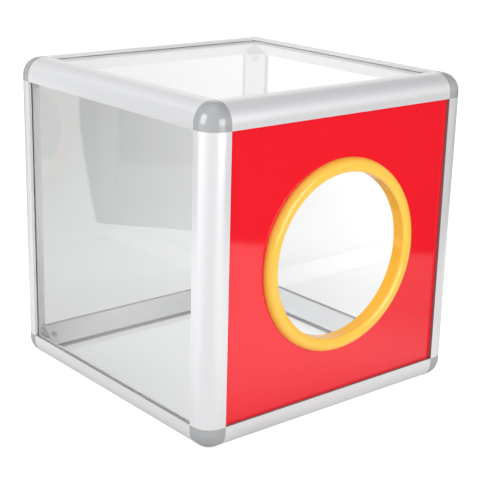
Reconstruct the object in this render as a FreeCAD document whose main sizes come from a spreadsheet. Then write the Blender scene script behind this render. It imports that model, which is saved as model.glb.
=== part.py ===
import FreeCAD, Part
import math
import os
from types import SimpleNamespace

import Sketcher
from FreeCAD import Placement, Rotation, Vector

# Raffle box: a see-through cube with a framed edge and a round hand hole in its red front.
# Twelve aluminium extrusions and eight plastic corner connectors make the frame. Six acrylic
# panels sit in its slots, and a yellow two-part ring lines the hand hole.
# Millimetres. X runs left to right, Y from front to back and Z up. The origin is on the
# surface that the box stands on, under its middle.

# Driving dimensions
SIZES = {
    # Whole box, outside
    "width": 300.0,
    "depth": 300.0,
    "height": 300.0,
    # Rail section: a rounded outer skin, a slot for each of two panels and a slanted web
    "rail_radius": 17.0,
    "lip_flat": 5.0,
    "lip_thickness": 2.8,
    "skin_wall": 1.5,
    "lip_wall": 1.2,
    "web_wall": 1.2,
    "slot_depth": 7.0,
    # Panels, and the room that they have in their slots
    "panel_thickness": 3.0,
    "panel_play": 0.3,
    "panel_edge_gap": 0.5,
    # Corner connector legs inside the rails
    "spigot_length": 18.0,
    "spigot_play": 0.2,
    "spigot_lead": 0.8,
    # Screws that hold the rails on those legs
    "screw_offset": 5.0,
    "screw_diameter": 3.0,
    "screw_length": 8.0,
    "screw_point": 1.0,
    "screw_hole_play": 0.4,
    "thread_play": 0.1,
    "pilot_spare": 0.6,
    "head_diameter": 6.4,
    "head_height": 2.2,
    "head_round": 0.9,
    "cross_span": 3.4,
    "cross_width": 0.8,
    "cross_depth": 1.2,
    # Hand hole and the ring that lines it
    "hand_hole_diameter": 152.0,
    "hand_hole_height": 151.0,
    "bezel_width": 12.4,
    "bezel_outer_edge": 1.0,
    "bezel_inner_edge": 4.5,
    "bezel_crown": 4.2,
    "bezel_round": 1.0,
    "sleeve_wall": 3.5,
    "sleeve_play": 0.4,
    "rear_ring_width": 8.0,
    "rear_ring_thickness": 4.5,
    "rear_ring_play": 0.2,
    "rear_ring_round": 1.6,
}


class Size:
    """A length together with the sheet formula that gives it."""

    def __init__(self, value, formula):
        self.value = float(value)
        self.formula = formula

    def join(self, sign, other, value):
        return Size(value, "(" + self.formula + sign + other.formula + ")")

    def __add__(self, other):
        other = as_size(other)
        return self.join(" + ", other, self.value + other.value)

    def __sub__(self, other):
        other = as_size(other)
        return self.join(" - ", other, self.value - other.value)

    def __mul__(self, other):
        other = as_size(other)
        return self.join(" * ", other, self.value * other.value)

    def __truediv__(self, other):
        other = as_size(other)
        return self.join(" / ", other, self.value / other.value)

    def __neg__(self):
        return as_size(0) - self


def as_size(number):
    if isinstance(number, Size):
        return number
    return Size(number, repr(float(number)))


def root(size):
    return Size(math.sqrt(size.value), "sqrt(" + size.formula + ")")


doc = FreeCAD.newDocument("RaffleBox")
sheet = doc.addObject("Spreadsheet::Sheet", "Sizes")
for row, (name, number) in enumerate(SIZES.items(), start=1):
    sheet.set("A%d" % row, name)
    sheet.set("B%d" % row, str(number))
    sheet.setAlias("B%d" % row, name)
doc.recompute()
size = SimpleNamespace(**{name: Size(sheet.get(name), "Sizes." + name) for name in SIZES})

ZERO = as_size(0)
ROOT_TWO = root(as_size(2))

# Sizes that follow from the driving dimensions
rail_size = size.rail_radius + size.lip_flat
slot_width = size.panel_thickness + size.panel_play
slot_inner = size.lip_thickness + slot_width
slot_floor = rail_size - size.slot_depth
lip_depth = slot_inner + size.lip_wall
web_middle = (rail_size + lip_depth) / 2
panel_inset = size.lip_thickness + size.panel_play
panel_edge = slot_floor + size.panel_edge_gap
hand_hole_radius = size.hand_hole_diameter / 2
sleeve_radius = hand_hole_radius + size.sleeve_wall
bezel_radius = hand_hole_radius + size.bezel_width
sleeve_reach = size.panel_thickness + size.rear_ring_thickness

# Directions of the box, the order in which they turn, and its six sides: the axis of each,
# where it lies on that axis and which way along the axis is inward.
AXES = {"x": Vector(1, 0, 0), "y": Vector(0, 1, 0), "z": Vector(0, 0, 1)}
OTHERS = {"x": ("y", "z"), "y": ("z", "x"), "z": ("x", "y")}
SPAN = {"x": size.width, "y": size.depth, "z": size.height}
LOW_END = {"x": -size.width / 2, "y": -size.depth / 2, "z": ZERO}
SIDES = {
    "left": ("x", LOW_END["x"], 1),
    "right": ("x", size.width / 2, -1),
    "front": ("y", LOW_END["y"], 1),
    "back": ("y", size.depth / 2, -1),
    "bottom": ("z", LOW_END["z"], 1),
    "top": ("z", size.height, -1),
}
# The plane across each axis, and the direction that a screw in a rail along it points in
PLANES = {"x": "YZ_Plane", "y": "XZ_Plane", "z": "XY_Plane"}
DIAGONALS = {"x": Vector(0, 1, 1), "y": Vector(1, 0, 1), "z": Vector(1, 1, 0)}
# Degrees from one screw's cross to the next one's, so that no two heads stop alike
SCREW_TURN = 37
# Room within which a point counts as lying on a plane
NEAR = 1e-6

nodes = []


# Helpers

def bind(thing, name, value):
    """Give a feature a size that follows the sheet."""
    setattr(thing, name, value.value)
    thing.setExpression(name, value.formula)


def place(thing, rotation, spot):
    """Put a piece or feature where three sizes say, turned by a rotation."""
    thing.Placement = Placement(Vector(*[value.value for value in spot]), rotation)
    for axis, value in zip("xyz", spot):
        thing.setExpression("Placement.Base." + axis, value.formula)


def turned(first, second):
    """Rotation that carries X to the first direction and Y to the second."""
    return Rotation(first, second, first.cross(second), "XYZ")


def new_body(name):
    body = doc.addObject("PartDesign::Body", name)
    body.Label = name
    return body


def new_sketch(body, name, plane, offset=None):
    """Sketch on one of the body's own origin planes, moved along its normal by an offset."""
    sketch = body.newObject("Sketcher::SketchObject", body.Name + "_" + name)
    support = [face for face in body.Origin.OriginFeatures if face.Role == plane]
    sketch.AttachmentSupport = [(support[0], "")]
    sketch.MapMode = "FlatFace"
    if offset is not None:
        sketch.setExpression("AttachmentOffset.Base.z", offset.formula)
    return sketch


def constrain(sketch, kind, element, point, value):
    """Hold one coordinate of a sketch point at a size, measured from the sketch's origin."""
    if value.formula == ZERO.formula:
        axis = -2 if kind == "DistanceX" else -1
        sketch.addConstraint(Sketcher.Constraint("PointOnObject", element, point, axis))
        return
    rule = Sketcher.Constraint(kind, -1, 1, element, point, value.value)
    index = sketch.addConstraint(rule)
    sketch.setExpression("Constraints[%d]" % index, value.formula)


def draw_outline(sketch, corners, arcs=None):
    """Closed outline through corners. arcs gives the radius and the centre of each round side,
    by the number of the corner that it starts from."""
    arcs = arcs or {}
    ends = []
    for number, (start_x, start_y) in enumerate(corners):
        end_x, end_y = corners[(number + 1) % len(corners)]
        start = Vector(start_x.value, start_y.value, 0)
        end = Vector(end_x.value, end_y.value, 0)
        if number not in arcs:
            element = sketch.addGeometry(Part.LineSegment(start, end))
            ends.append((element, 1, 2))
            continue
        radius, middle = arcs[number]
        centre = Vector(middle[0].value, middle[1].value, 0)
        first_angle = math.atan2(start.y - centre.y, start.x - centre.x)
        last_angle = math.atan2(end.y - centre.y, end.x - centre.x)
        forward = (start - centre).cross(end - centre).z > 0
        if not forward:
            first_angle, last_angle = last_angle, first_angle
        if last_angle < first_angle:
            last_angle += 2 * math.pi
        circle = Part.Circle(centre, Vector(0, 0, 1), radius.value)
        element = sketch.addGeometry(Part.ArcOfCircle(circle, first_angle, last_angle))
        ends.append((element, 1, 2) if forward else (element, 2, 1))
    for number, (element, start_point, end_point) in enumerate(ends):
        following, following_start, _ = ends[(number + 1) % len(ends)]
        sketch.addConstraint(
            Sketcher.Constraint("Coincident", element, end_point, following, following_start)
        )
        constrain(sketch, "DistanceX", element, start_point, corners[number][0])
        constrain(sketch, "DistanceY", element, start_point, corners[number][1])
        if number in arcs:
            radius = arcs[number][0]
            index = sketch.addConstraint(Sketcher.Constraint("Radius", element, radius.value))
            sketch.setExpression("Constraints[%d]" % index, radius.formula)


def pad(body, sketch, name, length, backwards=False):
    feature = body.newObject("PartDesign::Pad", body.Name + "_" + name)
    feature.Profile = sketch
    feature.Reversed = backwards
    bind(feature, "Length", length)
    return feature


def turn_profile(body, sketch, name):
    """Solid of revolution about the body's Z axis, from a sketch on its XZ plane."""
    feature = body.newObject("PartDesign::Revolution", body.Name + "_" + name)
    feature.Profile = sketch
    feature.ReferenceAxis = (sketch, ["V_Axis"])
    feature.Angle = 360
    return feature


def drill(body, name, radius, depth, spot, direction):
    """Round hole from a spot, along a direction."""
    hole = body.newObject("PartDesign::SubtractiveCylinder", body.Name + "_" + name)
    bind(hole, "Radius", radius)
    bind(hole, "Height", depth)
    place(hole, Rotation(AXES["z"], direction), spot)
    return hole


def cut_box(body, name, sides, spot):
    box = body.newObject("PartDesign::SubtractiveBox", body.Name + "_" + name)
    for side, value in zip(("Length", "Width", "Height"), sides):
        bind(box, side, value)
    place(box, Rotation(), spot)
    return box


def soften(body, base, kind, name, amount, wanted):
    """Fillet or chamfer on those edges of the base feature for which wanted is true."""
    doc.recompute()
    names = []
    for number, edge in enumerate(base.Shape.Edges, start=1):
        if wanted(edge):
            names.append("Edge%d" % number)
    feature = body.newObject("PartDesign::" + kind, body.Name + "_" + name)
    feature.Base = (base, names)
    bind(feature, "Radius" if kind == "Fillet" else "Size", amount)
    return feature


def all_points(edge, test):
    return all(test(vertex.Point) for vertex in edge.Vertexes)


def hollow_outline(play):
    """Hollow of a rail, or with some play the connector leg that fills it."""
    skin = size.rail_radius - size.skin_wall - play
    inner = slot_floor - size.lip_wall - play
    across = size.rail_radius - inner
    low = size.rail_radius - root(skin * skin - across * across)
    lip = lip_depth + play
    slant = rail_size + lip_depth - ROOT_TWO * (size.web_wall + play)
    far = slant - lip
    corners = [(low, inner), (inner, low), (inner, lip), (far, lip), (lip, far), (lip, inner)]
    centre = (size.rail_radius, size.rail_radius)
    return corners, {0: (skin, centre)}


# Rails: the outer corner of the section is the sketch's origin

def draw_rail_section(sketch):
    outer = [
        (ZERO, size.rail_radius),
        (size.rail_radius, ZERO),
        (rail_size, ZERO),
        (rail_size, size.lip_thickness),
        (slot_floor, size.lip_thickness),
        (slot_floor, slot_inner),
        (rail_size, slot_inner),
        (rail_size, lip_depth),
        (lip_depth, rail_size),
        (slot_inner, rail_size),
        (slot_inner, slot_floor),
        (size.lip_thickness, slot_floor),
        (size.lip_thickness, rail_size),
        (ZERO, rail_size),
    ]
    centre = (size.rail_radius, size.rail_radius)
    draw_outline(sketch, outer, {0: (size.rail_radius, centre)})
    corners, arcs = hollow_outline(ZERO)
    draw_outline(sketch, corners, arcs)


def make_rail(name, side_names):
    """Rail along the edge where two sides of the box meet."""
    body = new_body(name)
    sketch = new_sketch(body, "section", PLANES["z"])
    draw_rail_section(sketch)
    run = [axis for axis in "xyz" if axis not in [SIDES[side][0] for side in side_names]][0]
    length = SPAN[run] - rail_size * 2
    pad(body, sketch, "length", length)
    hole_radius = (size.screw_diameter + size.screw_hole_play) / 2
    start = web_middle - size.web_wall * 2 / ROOT_TWO
    for end, level in (("near", size.screw_offset), ("far", length - size.screw_offset)):
        spot = (start, start, level)
        drill(body, end + "_hole", hole_radius, size.web_wall * 3, spot, DIAGONALS["z"])
    set_in_corner(body, side_names, AXES[run], {run: LOW_END[run] + rail_size})
    return body, length


def set_in_corner(body, side_names, last, spot):
    """Point a piece's X and Y inward from two sides of the box, and its Z along last."""
    directions = []
    for axis, place_on_axis, inward in [SIDES[side] for side in side_names[:2]]:
        directions.append(AXES[axis] * inward)
        spot[axis] = place_on_axis
    if directions[0].cross(directions[1]).dot(last) < 0:
        directions.reverse()
    place(body, turned(*directions), [spot[axis] for axis in "xyz"])
    nodes.append(body)


# Corner connectors: a rounded cube corner with three legs, its outer corner at the origin

def make_connector(name, side_names):
    body = new_body(name)
    block = body.newObject("PartDesign::AdditiveBox", name + "_block")
    for side in ("Length", "Width", "Height"):
        bind(block, side, rail_size)

    def is_outer(edge):
        return sum(all_points(edge, lambda p: abs(p[i]) < NEAR) for i in range(3)) == 2

    soften(body, block, "Fillet", "dome", size.rail_radius, is_outer)
    for axis in "xyz":
        width = {other: size.slot_depth for other in "xyz"}
        corner = {other: slot_floor for other in "xyz"}
        width[axis] = slot_width
        corner[axis] = size.lip_thickness
        sides = [width[other] for other in "xyz"]
        cut_box(body, "panel_slot_" + axis, sides, [corner[other] for other in "xyz"])
    facet = (rail_size * 2 + lip_depth) / 3
    drill(body, "inner_facet", rail_size, rail_size, [facet] * 3, Vector(1, 1, 1))
    for axis in "xyz":
        add_spigot(body, axis)
    axis, place_on_axis, inward = SIDES[side_names[2]]
    set_in_corner(body, side_names, AXES[axis] * inward, {axis: place_on_axis})


def add_spigot(body, axis):
    """Leg that fills the rail along one axis, with the pilot hole for its screw."""
    behind = axis == "y"
    offset = -rail_size if behind else rail_size
    sketch = new_sketch(body, "leg_section_" + axis, PLANES[axis], offset)
    corners, arcs = hollow_outline(size.spigot_play)
    draw_outline(sketch, corners, arcs)
    leg = pad(body, sketch, "leg_" + axis, size.spigot_length, backwards=behind)
    index = "xyz".index(axis)
    tip = (rail_size + size.spigot_length).value

    def is_tip(edge):
        return all_points(edge, lambda p: abs(p[index] - tip) < NEAR)

    soften(body, leg, "Chamfer", "lead_" + axis, size.spigot_lead, is_tip)
    depth = size.screw_length + size.pilot_spare
    start = web_middle - depth / ROOT_TWO
    spot = [start, start, start]
    spot[index] = rail_size + size.screw_offset
    radius = size.screw_diameter / 2 + size.thread_play
    drill(body, "pilot_" + axis, radius, depth, spot, DIAGONALS[axis])


# Panels

def make_panel(name, side_name):
    """Flat sheet in the slots along the four edges of one side of the box."""
    axis, place_on_axis, inward = SIDES[side_name]
    across, up = OTHERS[axis] if inward > 0 else reversed(OTHERS[axis])
    body = new_body(name)
    sketch = new_sketch(body, "sheet", PLANES["z"])
    wide = SPAN[across] - panel_edge * 2
    tall = SPAN[up] - panel_edge * 2
    draw_outline(sketch, [(ZERO, ZERO), (wide, ZERO), (wide, tall), (ZERO, tall)])
    pad(body, sketch, "thickness", size.panel_thickness)
    spot = {other: LOW_END[other] + panel_edge for other in "xyz"}
    spot[axis] = place_on_axis + panel_inset * inward
    place(body, turned(AXES[across], AXES[up]), [spot[other] for other in "xyz"])
    nodes.append(body)
    return body


def cut_hand_hole(panel):
    """The front sheet's X runs up and its Y runs to the right."""
    spot = (size.hand_hole_height - panel_edge, size.width / 2 - panel_edge, ZERO)
    radius = sleeve_radius + size.sleeve_play
    drill(panel, "hand_hole", radius, size.panel_thickness, spot, AXES["z"])


# Hand-hole ring: Z points out of the box, from the sleeve's inner end

def make_front_ring():
    """Rounded bezel in front of the panel, on a sleeve that passes through it."""
    body = new_body("hand_hole_ring")
    inner_top = sleeve_reach + size.bezel_inner_edge
    outer_top = sleeve_reach + size.bezel_outer_edge
    slope = size.bezel_inner_edge - size.bezel_outer_edge
    chord = root(size.bezel_width * size.bezel_width + slope * slope)
    crown = size.bezel_crown
    radius = (chord * chord / 4 + crown * crown) / (crown * 2)
    drop = radius - crown
    centre = (
        (hand_hole_radius + bezel_radius) / 2 - drop * slope / chord,
        (inner_top + outer_top) / 2 - drop * size.bezel_width / chord,
    )
    corners = [
        (hand_hole_radius, ZERO),
        (sleeve_radius, ZERO),
        (sleeve_radius, sleeve_reach),
        (bezel_radius, sleeve_reach),
        (bezel_radius, outer_top),
        (hand_hole_radius, inner_top),
    ]
    sketch = new_sketch(body, "section", PLANES["y"])
    draw_outline(sketch, corners, {4: (radius, centre)})
    solid = turn_profile(body, sketch, "turned")

    def is_inner_rim(edge):
        at_rim = all_points(edge, lambda p: abs(p.z - inner_top.value) < NEAR)
        return at_rim and edge.BoundBox.ZLength < NEAR

    soften(body, solid, "Fillet", "rim", size.bezel_round, is_inner_rim)
    set_ring(body)


def make_rear_ring():
    """Flat retaining ring behind the panel, pushed onto the end of the sleeve."""
    body = new_body("hand_hole_rear_ring")
    inner = sleeve_radius + size.rear_ring_play
    outer = inner + size.rear_ring_width
    tall = size.rear_ring_thickness
    sketch = new_sketch(body, "section", PLANES["y"])
    draw_outline(sketch, [(inner, ZERO), (outer, ZERO), (outer, tall), (inner, tall)])
    solid = turn_profile(body, sketch, "turned")

    def is_outer_rim(edge):
        low = all_points(edge, lambda p: abs(p.z) < NEAR)
        return low and edge.BoundBox.XMax > (inner + outer).value / 2

    soften(body, solid, "Fillet", "rim", size.rear_ring_round, is_outer_rim)
    set_ring(body)


def set_ring(body):
    """Centre a ring on the hand hole, with its inner end where the sleeve ends."""
    inner_end = LOW_END["y"] + panel_inset + sleeve_reach
    place(body, turned(AXES["x"], AXES["z"]), (ZERO, inner_end, size.hand_hole_height))
    nodes.append(body)


# Screws: the point is at the origin and the head's underside a screw length above it

def make_screw():
    body = new_body("screw_pattern")
    shank = size.screw_diameter / 2
    head = size.head_diameter / 2
    top = size.screw_length + size.head_height
    corners = [
        (ZERO, ZERO),
        (shank, size.screw_point),
        (shank, size.screw_length),
        (head, size.screw_length),
        (head, top),
        (ZERO, top),
    ]
    sketch = new_sketch(body, "section", PLANES["y"])
    draw_outline(sketch, corners)
    solid = turn_profile(body, sketch, "turned")

    def is_head_rim(edge):
        high = all_points(edge, lambda p: abs(p.z - top.value) < NEAR)
        return high and edge.BoundBox.XLength > head.value

    soften(body, solid, "Fillet", "head", size.head_round, is_head_rim)
    long_half, short_half = size.cross_span / 2, size.cross_width / 2
    floor = top - size.cross_depth
    for name, wide, deep in (("x", long_half, short_half), ("y", short_half, long_half)):
        sides = (wide * 2, deep * 2, size.cross_depth)
        cut_box(body, "cross_" + name, sides, (-wide, -deep, floor))
    return body


def make_screws(screw, rails):
    """One screw near each end of each rail, driven from inside the box through its web."""
    lean = Rotation(AXES["z"], DIAGONALS["z"])
    outward = lean.multVec(AXES["z"])
    middle = web_middle.value
    solids = []
    for rail, length in rails:
        for level in (size.screw_offset.value, length.value - size.screw_offset.value):
            seat = Vector(middle, middle, level)
            point = seat - outward * size.screw_length.value
            turn = Rotation(AXES["z"], len(solids) * SCREW_TURN)
            solid = screw.Shape.copy()
            solid.Placement = rail.Placement * Placement(point, lean * turn)
            solids.append(solid)
    group = doc.addObject("Part::Feature", "corner_screws")
    group.Label = "corner_screws"
    group.Shape = Part.makeCompound(solids)
    nodes.append(group)


# Assembly
rails = []
for level in ("bottom", "top"):
    for side in ("front", "back", "left", "right"):
        rails.append(make_rail(side + "_" + level + "_rail", (side, level)))
for side in ("front", "back"):
    for hand in ("left", "right"):
        rails.append(make_rail(side + "_" + hand + "_post", (side, hand)))
        for level in ("bottom", "top"):
            make_connector(side + "_" + hand + "_" + level + "_corner", (side, hand, level))
panels = {side: make_panel(side + "_panel", side) for side in SIDES}
cut_hand_hole(panels["front"])
make_front_ring()
make_rear_ring()
screw = make_screw()
doc.recompute()
make_screws(screw, rails)
doc.recompute()

# Every object and every piece is tested before anything is written
for thing in doc.Objects:
    if "Invalid" in thing.State or "Error" in thing.State:
        raise RuntimeError("failed: " + thing.Name + " " + str(thing.State))
for node in nodes:
    if node.Shape.isNull() or not node.Shape.isValid():
        raise RuntimeError("bad shape: " + node.Label)
os.makedirs("parts", exist_ok=True)
for node in nodes:
    node.Shape.exportStep("parts/" + node.Label + ".step")
    print(node.Label, len(node.Shape.Solids), round(node.Shape.Volume, 1))
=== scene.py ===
"""The raffle box as a studio picture: a cube of silver rails and grey corner pieces with clear sheets,
a glossy red front and a yellow ring around the hand hole. Lengths are in metres, angles in degrees."""

import math

import bpy
from mathutils import Matrix, Vector


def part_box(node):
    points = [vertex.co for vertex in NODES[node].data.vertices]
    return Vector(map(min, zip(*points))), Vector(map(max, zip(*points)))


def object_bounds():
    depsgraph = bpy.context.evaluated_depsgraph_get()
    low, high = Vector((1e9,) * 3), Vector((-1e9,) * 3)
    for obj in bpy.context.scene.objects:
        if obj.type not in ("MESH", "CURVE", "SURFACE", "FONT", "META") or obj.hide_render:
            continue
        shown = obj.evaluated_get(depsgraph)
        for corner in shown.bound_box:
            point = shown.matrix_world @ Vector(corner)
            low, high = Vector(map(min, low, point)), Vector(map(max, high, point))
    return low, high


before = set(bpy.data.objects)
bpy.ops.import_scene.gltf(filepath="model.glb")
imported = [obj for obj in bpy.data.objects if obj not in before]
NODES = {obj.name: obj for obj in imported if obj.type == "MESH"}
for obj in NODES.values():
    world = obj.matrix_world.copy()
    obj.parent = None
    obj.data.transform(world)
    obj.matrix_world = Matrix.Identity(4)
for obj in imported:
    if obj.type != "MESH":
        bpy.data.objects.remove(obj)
cad_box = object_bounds()

AXIS_NAMES = "xyz"

# Half the side of the cube that the rails make, and how high and deep a rail is
HALF_BOX = cad_box[1][2] / 2
RAIL_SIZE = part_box("front_bottom_rail")[1].z

# Camera, as fitted to the long edges of the box in the photograph
CAMERA_TARGET = Vector((0.0004, -0.0084, 0.1298))
CAMERA_DISTANCE = 1.2033
CAMERA_AZIMUTH = -39.73
CAMERA_ELEVATION = 17.14
CAMERA_ROLL = 1.37
CAMERA_LENS = 92.97
CAMERA_NEAREST = 0.01
CAMERA_FARTHEST = 50.0
SENSOR_WIDTH = 36.0

# Colours, linear
ALUMINIUM = (0.78, 0.785, 0.797)
GREY_PLASTIC = (0.37, 0.378, 0.387)
CLEAR_TINT = (0.955, 0.96, 0.962)
RED = (0.83, 0.014, 0.026)
BOARD_WHITE = (0.8, 0.8, 0.79)
YELLOW = (0.97, 0.56, 0.075)
# The deeper orange of the ring's bore is painted bounce light
YELLOW_PAINTED_BOUNCE = (1.0, 0.5, 0.045)
STEEL = (0.7, 0.705, 0.71)
PLAIN_WHITE = (1.0, 1.0, 1.0, 1.0)

# Rails: how deep their outer lips reach, the play in the place of the lips' edges, and how squarely a face
# has to look along an axis to be such an edge
LIP_REACH = 0.0035
EDGE_TOLERANCE = 0.0002
SQUARE_ON = 0.9

# Rails: painted light and shade on the lips' edges: how much paler they are painted than the rest, the same
# on the front, where a painted shadow line makes them darker, and which share of the way to that painted
# shadow they go low down
LIP_PAINTED_LIGHT = 0.15
FRONT_LIP_PAINTED_SHADE = -0.8
LOW_LIP_SHADE_SHARE = 0.9

# Rails: how much painted light makes the inner webs paler, and how far at least their faces lie from the
# box's middle
WEB_PAINTED_LIGHT = 0.13
WEB_DEPTH = 0.1

# Rails: cells of noise to a metre, along the rail and across it, in the die lines and in broad bands, and
# all ways alike in the grain, with the share of the lines in the relief and the relief's height
LINE_CELLS = (3.0, 1400.0)
BAND_CELLS = (1.2, 260.0)
METAL_GRAIN_CELLS = 4200.0
LINE_SHARE = 0.7
METAL_RELIEF = 0.00002

# Red front: how thick its coloured face is, and how far the change to the white board reaches
RED_FACE = 0.0005
RED_FACE_BLEND = 0.0001

# Ring: how far a face looks against the way out from the hole's axis where its painted bounce light, a
# deeper orange, starts, and where it is deepest
BORE_STARTS = -0.6
BORE_FULL = -0.95

# Lamps: name, azimuth, elevation, distance, width, height and radiance. They face the near top corner
LAMP_AIM = Vector((-0.133, -0.133, 0.283))
LAMPS = (
    ("left_softbox", -102.0, 19.0, 0.85, 0.5, 0.7, 5.05),
    ("front_softbox", 9.0, 6.0, 1.0, 0.62, 0.64, 4.9),
)

# Room: its level, and its brighter and darker parts, each with azimuth, elevation, spread and level
WORLD_LEVEL = 0.48
WORLD_LIGHTS = (
    (138.0, 10.0, 32.0, 0.66),
    (40.0, 17.0, 35.0, 0.12),
    (75.0, 51.0, 40.0, -0.42),
    (0.0, 90.0, 45.0, 0.5),
)

# Table: its half side, and how far its top lies under the box
TABLE_HALF_SIZE = 4.0
TABLE_DROP = 0.0003

# Table: its glow and its tone for rays straight from the eye, and for scattered rays
EYE_GLOW = 0.66
EYE_TONE = 0.8
SCATTERED_GLOW = 0.16
SCATTERED_TONE = 0.62

# Table through the clear sheets, with painted shade that is darker to the left of and behind the box: the
# way in which it gets paler, from where to where along that way, and from which level to which
PALER_RUN = Vector((0.769, -0.639, 0.0))
PALER_PLACES = (-0.3, 0.2)
PALER_LEVELS = (0.65, 1.1)

# Zones of painted shadow on the table around the box, dimmer through the sheets and in gloss, each with the
# distance at which it starts, the distance at which it is full, and its level
UNDER_BOX_PAINTED_SHADOW = (0.4, 0.05, -0.09)
MIRROR_PAINTED_SHADOWS = ((0.5, 0.2, -0.27), (0.27, 0.16, -0.38))

# Table as gloss mirrors it: its level, and its brighter and darker sides, each with azimuth and spread, the
# distance at which it starts, the distance at which it is full, and its level
MIRROR_LEVEL = 1.02
MIRROR_SIDES = (
    (145.0, 45.0, -1.0, 0.0, -0.3),
    (184.0, 34.0, 0.3, 0.55, -0.75),
    (12.0, 40.0, 0.5, 0.3, 0.18),
    (46.0, 24.0, 0.26, 0.4, -0.4),
    (265.0, 53.0, -1.0, 0.0, 0.13),
    (305.0, 53.0, 0.15, 0.7, -0.2),
    (309.0, 32.0, 0.1, 0.45, -0.36),
)

# Table as gloss mirrors it: the line on whose right it is dark, and half the width of the change
DARK_SIDE_POINT = Vector((0.340, -0.514, 0.0))
DARK_SIDE_RUN = Vector((0.692, 0.722, 0.0))
DARK_SIDE_SOFTNESS = 0.012

# Dark card: its foot on the table, the way it runs from there, its top, bottom and far end, its slanted
# near edge as steps along that way and heights, and its faint glow
CARD_FOOT = Vector((-0.452, 0.4925, 0.0))
CARD_RUN = Vector((-91.0, -116.5, 0.0)).normalized()
CARD_TOP = 0.6
CARD_BOTTOM = -0.02
CARD_END = 0.3
CARD_EDGE = (
    (0.0, 0.0),
    (-0.0075, 0.032),
    (-0.014, 0.076),
    (-0.0185, 0.1),
    (-0.0225, 0.138),
    (-0.024, CARD_TOP),
)
CARD_GLOW = 0.03


def add_node(tree, kind, inputs=(), **settings):
    """Adds a shader node. Each input is a value, or the socket that feeds it."""
    node = tree.nodes.new("ShaderNode" + kind)
    for key, value in settings.items():
        setattr(node, key, value)
    for key, value in dict(inputs).items():
        if isinstance(value, bpy.types.NodeSocket):
            tree.links.new(value, node.inputs[key])
        else:
            node.inputs[key].default_value = value
    return node


def math_node(tree, operation, first, second):
    """The result of one sum on two values or sockets."""
    return add_node(tree, "Math", {0: first, 1: second}, operation=operation).outputs[0]


def vector_node(tree, operation, first, second=(0.0, 0.0, 0.0)):
    """The result of one sum on vectors or sockets. It is one value for a length or a dot product."""
    node = add_node(tree, "VectorMath", {0: first, 1: second}, operation=operation)
    return node.outputs["Value" if operation in ("LENGTH", "DOT_PRODUCT") else "Vector"]


def scaled(tree, vector, factor):
    """A vector or colour times a factor."""
    return add_node(tree, "VectorMath", {"Vector": vector, "Scale": factor}, operation="SCALE").outputs[0]


def summed(tree, total, shares):
    """A value with all the shares added to it."""
    for share in shares:
        total = math_node(tree, "ADD", total, share)
    return total


def ranged(tree, value, low, high, from_low=0.0, from_high=1.0):
    """A value carried from one range to another and held at its ends."""
    sockets = {"Value": value, "From Min": from_low, "From Max": from_high, "To Min": low, "To Max": high}
    return add_node(tree, "MapRange", sockets).outputs["Result"]


def smooth(tree, value, start, end):
    """0 before the start, 1 after the end, and a soft step between them."""
    sockets = {"Value": value, "From Min": start, "From Max": end}
    return add_node(tree, "MapRange", sockets, interpolation_type="SMOOTHSTEP").outputs["Result"]


def object_place(tree):
    """Where a point of the surface lies, in the object's own coordinates."""
    return add_node(tree, "TexCoord").outputs["Object"]


def noise(tree, cells, detail=2.0):
    """Noise with so many cells to a metre, all ways alike or in one number for each axis."""
    scales = cells if isinstance(cells, tuple) else (cells, cells, cells)
    spread = vector_node(tree, "MULTIPLY", object_place(tree), scales)
    return add_node(tree, "TexNoise", {"Vector": spread, "Scale": 1.0, "Detail": detail}).outputs["Fac"]


def bump(tree, height, distance, strength):
    """A bump of a real height in metres."""
    sockets = {"Height": height, "Distance": distance, "Strength": strength}
    return add_node(tree, "Bump", sockets).outputs["Normal"]


def tinted(tree, colour, shade, low, high):
    """A colour made a little darker or paler by a value from 0 to 1."""
    return scaled(tree, colour, ranged(tree, shade, low, high))


def mixed_colour(tree, share, first, second):
    """A colour that passes into another as the share goes from 0 to 1."""
    return add_node(tree, "Mix", {0: share, 6: first, 7: (*second, 1.0)}, data_type="RGBA").outputs[2]


def new_material(name):
    """An empty material, its node tree and the socket for its surface."""
    material = bpy.data.materials.new(name)
    material.use_nodes = True
    tree = material.node_tree
    tree.nodes.clear()
    output = add_node(tree, "OutputMaterial")
    return material, tree, output.inputs["Surface"]


def coat(tree, surface, inputs):
    """Gives the surface one shader with these inputs."""
    shader = add_node(tree, "BsdfPrincipled", inputs)
    tree.links.new(shader.outputs[0], surface)


def from_middle(tree):
    """The way from the middle of the box to a point of the surface."""
    return vector_node(tree, "ADD", object_place(tree), (0.0, 0.0, -HALF_BOX))


def lip_edges(tree):
    """1 on the narrow faces of the rails' outer lips that look at the sheets, and 0 elsewhere."""
    spread = vector_node(tree, "ABSOLUTE", from_middle(tree))
    places = add_node(tree, "SeparateXYZ", {0: spread}).outputs
    normal = add_node(tree, "NewGeometry").outputs["True Normal"]
    facings = add_node(tree, "SeparateXYZ", {0: vector_node(tree, "ABSOLUTE", normal)}).outputs
    edge_plane = HALF_BOX - RAIL_SIZE + EDGE_TOLERANCE
    on_edge = 0.0
    outermost = 0.0
    for axis in range(len(AXIS_NAMES)):
        square = math_node(tree, "GREATER_THAN", facings[axis], SQUARE_ON)
        inside = math_node(tree, "LESS_THAN", places[axis], edge_plane)
        on_edge = math_node(tree, "MAXIMUM", on_edge, math_node(tree, "MULTIPLY", square, inside))
        outermost = math_node(tree, "MAXIMUM", outermost, places[axis])
    outer = math_node(tree, "GREATER_THAN", outermost, HALF_BOX - LIP_REACH)
    return math_node(tree, "MULTIPLY", on_edge, outer)


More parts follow.
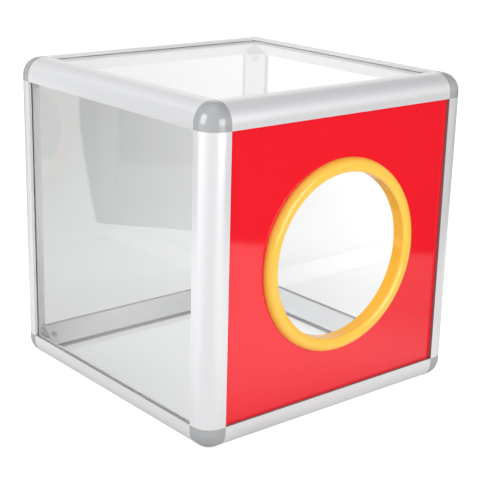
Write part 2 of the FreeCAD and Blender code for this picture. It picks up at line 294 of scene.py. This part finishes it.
def lip_light_and_shade(tree):
    """Painted light and shade on the lips' edges: how much paler than the rest they are, or darker where it
    is below 0, as a painted shadow line at the front and low down.
    """
    places = add_node(tree, "SeparateXYZ", {0: object_place(tree)}).outputs
    in_front = math_node(tree, "LESS_THAN", places["Y"], LIP_REACH - HALF_BOX)
    low_down = math_node(tree, "LESS_THAN", places["Z"], RAIL_SIZE + EDGE_TOLERANCE)
    low_share = math_node(tree, "MULTIPLY", low_down, LOW_LIP_SHADE_SHARE)
    darkening = math_node(tree, "MAXIMUM", in_front, low_share)
    return ranged(tree, darkening, LIP_PAINTED_LIGHT, FRONT_LIP_PAINTED_SHADE)


def inner_faces(tree):
    """1 on the rails' faces that look into the box, and 0 elsewhere."""
    normal = add_node(tree, "NewGeometry").outputs["True Normal"]
    outward = vector_node(tree, "DOT_PRODUCT", normal, from_middle(tree))
    return math_node(tree, "LESS_THAN", outward, -WEB_DEPTH)


def drawn_noise(tree, axis, cells, detail):
    """Noise drawn out along one axis, with so many cells to a metre along it and across it."""
    along, across = cells
    return noise(tree, tuple(along if name == axis else across for name in AXIS_NAMES), detail)


def aluminium(axis):
    """Satin anodised extrusion, with fine die lines along the rail, painted light and shade on the lips'
    edges and painted light on the inner webs.
    """
    material, tree, surface = new_material("anodised_aluminium_" + axis)
    lines = drawn_noise(tree, axis, LINE_CELLS, detail=2.0)
    bands = drawn_noise(tree, axis, BAND_CELLS, detail=1.0)
    grain = noise(tree, METAL_GRAIN_CELLS, detail=1.0)
    line_relief = math_node(tree, "MULTIPLY", lines, LINE_SHARE)
    grain_relief = math_node(tree, "MULTIPLY", grain, 1.0 - LINE_SHARE)
    # Painted light and shade: the lips' edges paler, or darker as a painted shadow line at the front and
    # low down, and the inner webs paler
    painted_edge_light_and_shade = math_node(tree, "MULTIPLY", lip_edges(tree), lip_light_and_shade(tree))
    painted_web_light = math_node(tree, "MULTIPLY", inner_faces(tree), WEB_PAINTED_LIGHT)
    shading = summed(tree, 1.0, (painted_edge_light_and_shade, painted_web_light))
    inputs = {
        "Base Color": scaled(tree, tinted(tree, ALUMINIUM, bands, 0.97, 1.02), shading),
        "Metallic": 0.3,
        "Roughness": ranged(tree, lines, 0.27, 0.33),
        "Normal": bump(tree, math_node(tree, "ADD", line_relief, grain_relief), METAL_RELIEF, strength=0.5),
    }
    coat(tree, surface, inputs)
    return material


def grey_plastic():
    """Moulded plastic, satin, with a faint grain."""
    material, tree, surface = new_material("grey_plastic")
    grain = noise(tree, cells=2600.0)
    cloud = noise(tree, cells=60.0)
    inputs = {
        "Base Color": tinted(tree, GREY_PLASTIC, cloud, 0.96, 1.04),
        "Roughness": ranged(tree, grain, 0.18, 0.23),
        "Normal": bump(tree, grain, distance=0.00003, strength=0.25),
        "IOR": 1.7,
    }
    coat(tree, surface, inputs)
    return material


def clear_acrylic():
    """Clear sheet, polished on both faces. Rays from lamps pass straight through it."""
    material, tree, surface = new_material("clear_acrylic")
    wave = noise(tree, cells=9.0, detail=1.0)
    specks = noise(tree, cells=700.0, detail=3.0)
    inputs = {
        "Base Color": (*CLEAR_TINT, 1.0),
        "Roughness": ranged(tree, specks, 0.0, 0.012, from_low=0.5, from_high=0.9),
        "IOR": 1.49,
        "Transmission Weight": 1.0,
        "Normal": bump(tree, wave, distance=0.0004, strength=0.15),
    }
    glass = add_node(tree, "BsdfPrincipled", inputs)
    clear = add_node(tree, "BsdfTransparent", {"Color": (*CLEAR_TINT, 1.0)})
    from_lamp = add_node(tree, "LightPath").outputs["Is Shadow Ray"]
    mixed = add_node(tree, "MixShader", {0: from_lamp, 1: glass.outputs[0], 2: clear.outputs[0]})
    tree.links.new(mixed.outputs[0], surface)
    return material


def red_acrylic():
    """White board faced with a polished red sheet, so that its back and its hole's edge are white."""
    material, tree, surface = new_material("red_acrylic")
    depth = add_node(tree, "SeparateXYZ", {0: object_place(tree)}).outputs["Y"]
    face_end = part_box("front_panel")[0].y + RED_FACE
    behind = ranged(tree, depth, 0.0, 1.0, from_low=face_end, from_high=face_end + RED_FACE_BLEND)
    wave = noise(tree, cells=12.0)
    specks = noise(tree, cells=900.0, detail=3.0)
    inputs = {
        "Base Color": mixed_colour(tree, behind, tinted(tree, RED, wave, 0.985, 1.015), BOARD_WHITE),
        "Roughness": ranged(tree, specks, 0.04, 0.09, from_low=0.4, from_high=0.9),
        "IOR": 1.58,
        "Normal": bump(tree, wave, distance=0.0004, strength=0.12),
    }
    coat(tree, surface, inputs)
    return material


def in_bore(tree):
    """1 on the ring's faces that look at the hole's axis, and 0 on those that look out or forwards."""
    low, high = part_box("hand_hole_ring")
    from_centre = vector_node(tree, "ADD", object_place(tree), -(low + high) / 2)
    from_axis = vector_node(tree, "MULTIPLY", from_centre, (1.0, 0.0, 1.0))
    outward = vector_node(tree, "NORMALIZE", from_axis)
    normal = add_node(tree, "NewGeometry").outputs["Normal"]
    return smooth(tree, vector_node(tree, "DOT_PRODUCT", normal, outward), BORE_STARTS, BORE_FULL)


def yellow_plastic():
    """Glossy moulded plastic that lets a little light into its edge, with painted bounce light that makes
    its bore a deeper orange.
    """
    material, tree, surface = new_material("yellow_plastic")
    cloud = noise(tree, cells=45.0)
    grain = noise(tree, cells=1800.0)
    outside = tinted(tree, YELLOW, cloud, 0.98, 1.02)
    inputs = {
        # Painted bounce light: the bore takes a deeper orange
        "Base Color": mixed_colour(tree, in_bore(tree), outside, YELLOW_PAINTED_BOUNCE),
        "Roughness": ranged(tree, grain, 0.12, 0.2),
        "IOR": 1.5,
        "Subsurface Weight": 0.15,
        "Subsurface Radius": (0.004, 0.002, 0.0005),
        "Subsurface Scale": 1.0,
        "Normal": bump(tree, grain, distance=0.00002, strength=0.2),
    }
    coat(tree, surface, inputs)
    return material


def screw_steel():
    """Zinc-plated steel."""
    material, tree, surface = new_material("screw_steel")
    cloud = noise(tree, cells=500.0, detail=3.0)
    inputs = {
        "Base Color": tinted(tree, STEEL, cloud, 0.85, 1.1),
        "Metallic": 1.0,
        "Roughness": ranged(tree, cloud, 0.22, 0.38),
    }
    coat(tree, surface, inputs)
    return material


def dress(node, material):
    """Gives a piece its material."""
    for slot in NODES[node].material_slots:
        slot.material = material


def rail_axis(node):
    """The long axis of a rail or post."""
    low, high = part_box(node)
    size = high - low
    return AXIS_NAMES[max(range(len(AXIS_NAMES)), key=lambda i: size[i])]


def dress_frame():
    """Rails, posts, corner pieces and their screws."""
    metals = {axis: aluminium(axis) for axis in AXIS_NAMES}
    plastic = grey_plastic()
    for name in NODES:
        if name.endswith("_rail") or name.endswith("_post"):
            dress(name, metals[rail_axis(name)])
        elif name.endswith("_corner"):
            dress(name, plastic)
    dress("corner_screws", screw_steel())


def dress_sheets():
    """The clear sheets, the red front and the two rings in its hole."""
    clear = clear_acrylic()
    for side in ("left", "right", "back", "top", "bottom"):
        dress(side + "_panel", clear)
    dress("front_panel", red_acrylic())
    yellow = yellow_plastic()
    dress("hand_hole_ring", yellow)
    dress("hand_hole_rear_ring", yellow)


def ray_kinds(tree):
    """1 or 0 each for rays straight from the eye, off a gloss, and only through clear sheets."""
    path = add_node(tree, "LightPath")
    scattered = math_node(tree, "MINIMUM", path.outputs["Diffuse Depth"], 1.0)
    unscattered = math_node(tree, "SUBTRACT", 1.0, scattered)
    bounced = math_node(tree, "MINIMUM", path.outputs["Glossy Depth"], 1.0)
    mirror = math_node(tree, "MULTIPLY", bounced, unscattered)
    straight = math_node(tree, "SUBTRACT", unscattered, mirror)
    through = math_node(tree, "MULTIPLY", path.outputs["Is Transmission Ray"], straight)
    return path.outputs["Is Camera Ray"], mirror, through


def by_ray(tree, eye, mirror, through, other):
    """One value for each kind of ray."""
    is_eye, is_mirror, is_through = ray_kinds(tree)
    value = other
    for kind, own in ((is_through, through), (is_mirror, mirror), (is_eye, eye)):
        value = add_node(tree, "Mix", {"Factor": kind, 2: value, 3: own}, data_type="FLOAT").outputs[0]
    return value


def towards(azimuth, elevation):
    """The direction from the box to a place around it, with azimuth 0 in front and 90 on the right."""
    a, e = math.radians(azimuth), math.radians(elevation)
    return Vector((math.sin(a) * math.cos(e), -math.cos(a) * math.cos(e), math.sin(e)))


def facing(tree, direction, azimuth, elevation, spread):
    """1 towards a direction and softly down to 0 at so many degrees from it."""
    unit = vector_node(tree, "NORMALIZE", direction)
    near = vector_node(tree, "DOT_PRODUCT", unit, towards(azimuth, elevation))
    return smooth(tree, near, math.cos(math.radians(spread)), 1.0)


def zone(tree, away, start, full, level):
    """A level that comes in softly between two distances."""
    return math_node(tree, "MULTIPLY", smooth(tree, away, start, full), level)


def dark_side(tree, place):
    """0 on the left of the line on the table and 1 on its right, where gloss sees the dark room."""
    normal = Vector((DARK_SIDE_RUN.y, -DARK_SIDE_RUN.x, 0.0)).normalized()
    across = vector_node(tree, "DOT_PRODUCT", place, normal)
    distance = math_node(tree, "SUBTRACT", across, normal.dot(DARK_SIDE_POINT))
    return ranged(tree, distance, 0.0, 1.0, -DARK_SIDE_SOFTNESS, DARK_SIDE_SOFTNESS)


def table_through_sheets(tree, place, away):
    """The table's glow for rays that come only through clear sheets, with painted shade under and behind
    the box.
    """
    across = vector_node(tree, "DOT_PRODUCT", place, PALER_RUN)
    glow = ranged(tree, across, *PALER_LEVELS, *PALER_PLACES)
    return math_node(tree, "ADD", glow, zone(tree, away, *UNDER_BOX_PAINTED_SHADOW))


def table_in_gloss(tree, place, away):
    """The table's glow for rays that come off a gloss, with painted shadow near the box."""
    shares = [zone(tree, away, *values) for values in MIRROR_PAINTED_SHADOWS]
    for azimuth, spread, start, full, level in MIRROR_SIDES:
        side = facing(tree, place, azimuth, 0.0, spread)
        shares.append(math_node(tree, "MULTIPLY", side, zone(tree, away, start, full, level)))
    lit = math_node(tree, "SUBTRACT", 1.0, dark_side(tree, place))
    return math_node(tree, "MULTIPLY", summed(tree, MIRROR_LEVEL, shares), lit)


def flat_stage(name, corners, finish):
    """Adds one flat face to the stage. Gives the node tree of its finish and the socket for its surface."""
    mesh = bpy.data.meshes.new(name)
    mesh.from_pydata(corners, [], [range(len(corners))])
    face = bpy.data.objects.new(name, mesh)
    bpy.context.scene.collection.objects.link(face)
    material, tree, surface = new_material(finish)
    mesh.materials.append(material)
    return tree, surface


def table():
    """A white table. Glossy parts see its right side end, and the dark room beyond it."""
    square = ((-1, -1), (1, -1), (1, 1), (-1, 1))
    corners = [(x * TABLE_HALF_SIZE, y * TABLE_HALF_SIZE, -TABLE_DROP) for x, y in square]
    tree, surface = flat_stage("table", corners, "table_top")
    place = add_node(tree, "NewGeometry").outputs["Position"]
    away = vector_node(tree, "LENGTH", place)
    in_gloss = table_in_gloss(tree, place, away)
    through_sheets = table_through_sheets(tree, place, away)
    glow = by_ray(tree, EYE_GLOW, in_gloss, through_sheets, SCATTERED_GLOW)
    tone = by_ray(tree, EYE_TONE, 0.0, 0.0, SCATTERED_TONE)
    grey = add_node(tree, "CombineXYZ", {0: tone, 1: tone, 2: tone}).outputs[0]
    plain = add_node(tree, "BsdfDiffuse", {"Color": grey})
    light = add_node(tree, "Emission", {"Color": PLAIN_WHITE, "Strength": glow})
    both = add_node(tree, "AddShader", {0: plain.outputs[0], 1: light.outputs[0]})
    tree.links.new(both.outputs[0], surface)


def dark_card():
    """A dark card on the left, which only mirror rays meet. Its image stands in the left sheet."""
    outline = ((CARD_END, CARD_TOP), (CARD_END, CARD_BOTTOM), *CARD_EDGE)
    corners = [CARD_FOOT + CARD_RUN * along + Vector((0.0, 0.0, height)) for along, height in outline]
    tree, surface = flat_stage("dark_card", corners, "dark_card")
    is_mirror = ray_kinds(tree)[1]
    clear = add_node(tree, "BsdfTransparent")
    dark = add_node(tree, "Emission", {"Color": PLAIN_WHITE, "Strength": CARD_GLOW})
    seen = add_node(tree, "MixShader", {0: is_mirror, 1: clear.outputs[0], 2: dark.outputs[0]})
    tree.links.new(seen.outputs[0], surface)


def studio_world():
    """The room: white to the eye and through the sheets, and grey with brighter and darker parts
    where gloss mirrors it and where it lights the box."""
    world = bpy.data.worlds.new("studio")
    bpy.context.scene.world = world
    world.use_nodes = True
    tree = world.node_tree
    tree.nodes.clear()
    direction = add_node(tree, "TexCoord").outputs["Generated"]
    shares = [
        math_node(tree, "MULTIPLY", facing(tree, direction, azimuth, elevation, spread), level)
        for azimuth, elevation, spread, level in WORLD_LIGHTS
    ]
    light = summed(tree, WORLD_LEVEL, shares)
    seen = by_ray(tree, 1.0, light, 1.0, light)
    background = add_node(tree, "Background", {"Color": PLAIN_WHITE, "Strength": seen})
    output = add_node(tree, "OutputWorld")
    tree.links.new(background.outputs[0], output.inputs["Surface"])


def softbox(name, azimuth, elevation, distance, width, height, radiance):
    """A rectangular lamp that faces the near top corner from a direction given as for the camera."""
    away = towards(azimuth, elevation)
    light = bpy.data.lights.new(name, "AREA")
    light.shape = "RECTANGLE"
    light.size = width
    light.size_y = height
    light.energy = radiance * math.pi * width * height
    lamp = bpy.data.objects.new(name, light)
    lamp.location = LAMP_AIM + away * distance
    lamp.rotation_euler = away.to_track_quat("Z", "Y").to_euler()
    bpy.context.scene.collection.objects.link(lamp)


def photo_camera():
    """The photograph's camera, turned a little about its own axis."""
    back = towards(CAMERA_AZIMUTH, CAMERA_ELEVATION)
    level_right = towards(CAMERA_AZIMUTH + 90.0, 0.0)
    level_up = back.cross(level_right)
    roll = math.radians(CAMERA_ROLL)
    right = level_right * math.cos(roll) + level_up * math.sin(roll)
    up = level_up * math.cos(roll) - level_right * math.sin(roll)
    camera = bpy.data.cameras.new("photo_camera")
    camera.lens = CAMERA_LENS
    camera.sensor_width = SENSOR_WIDTH
    camera.clip_start = CAMERA_NEAREST
    camera.clip_end = CAMERA_FARTHEST
    holder = bpy.data.objects.new("photo_camera", camera)
    turn = Matrix((right, up, back)).transposed().to_4x4()
    holder.matrix_world = Matrix.Translation(CAMERA_TARGET + back * CAMERA_DISTANCE) @ turn
    bpy.context.scene.collection.objects.link(holder)
    bpy.context.scene.camera = holder


dress_frame()
dress_sheets()
table()
dark_card()
studio_world()
for lamp_values in LAMPS:
    softbox(*lamp_values)
photo_camera()
bpy.context.scene.view_settings.view_transform = "Standard"
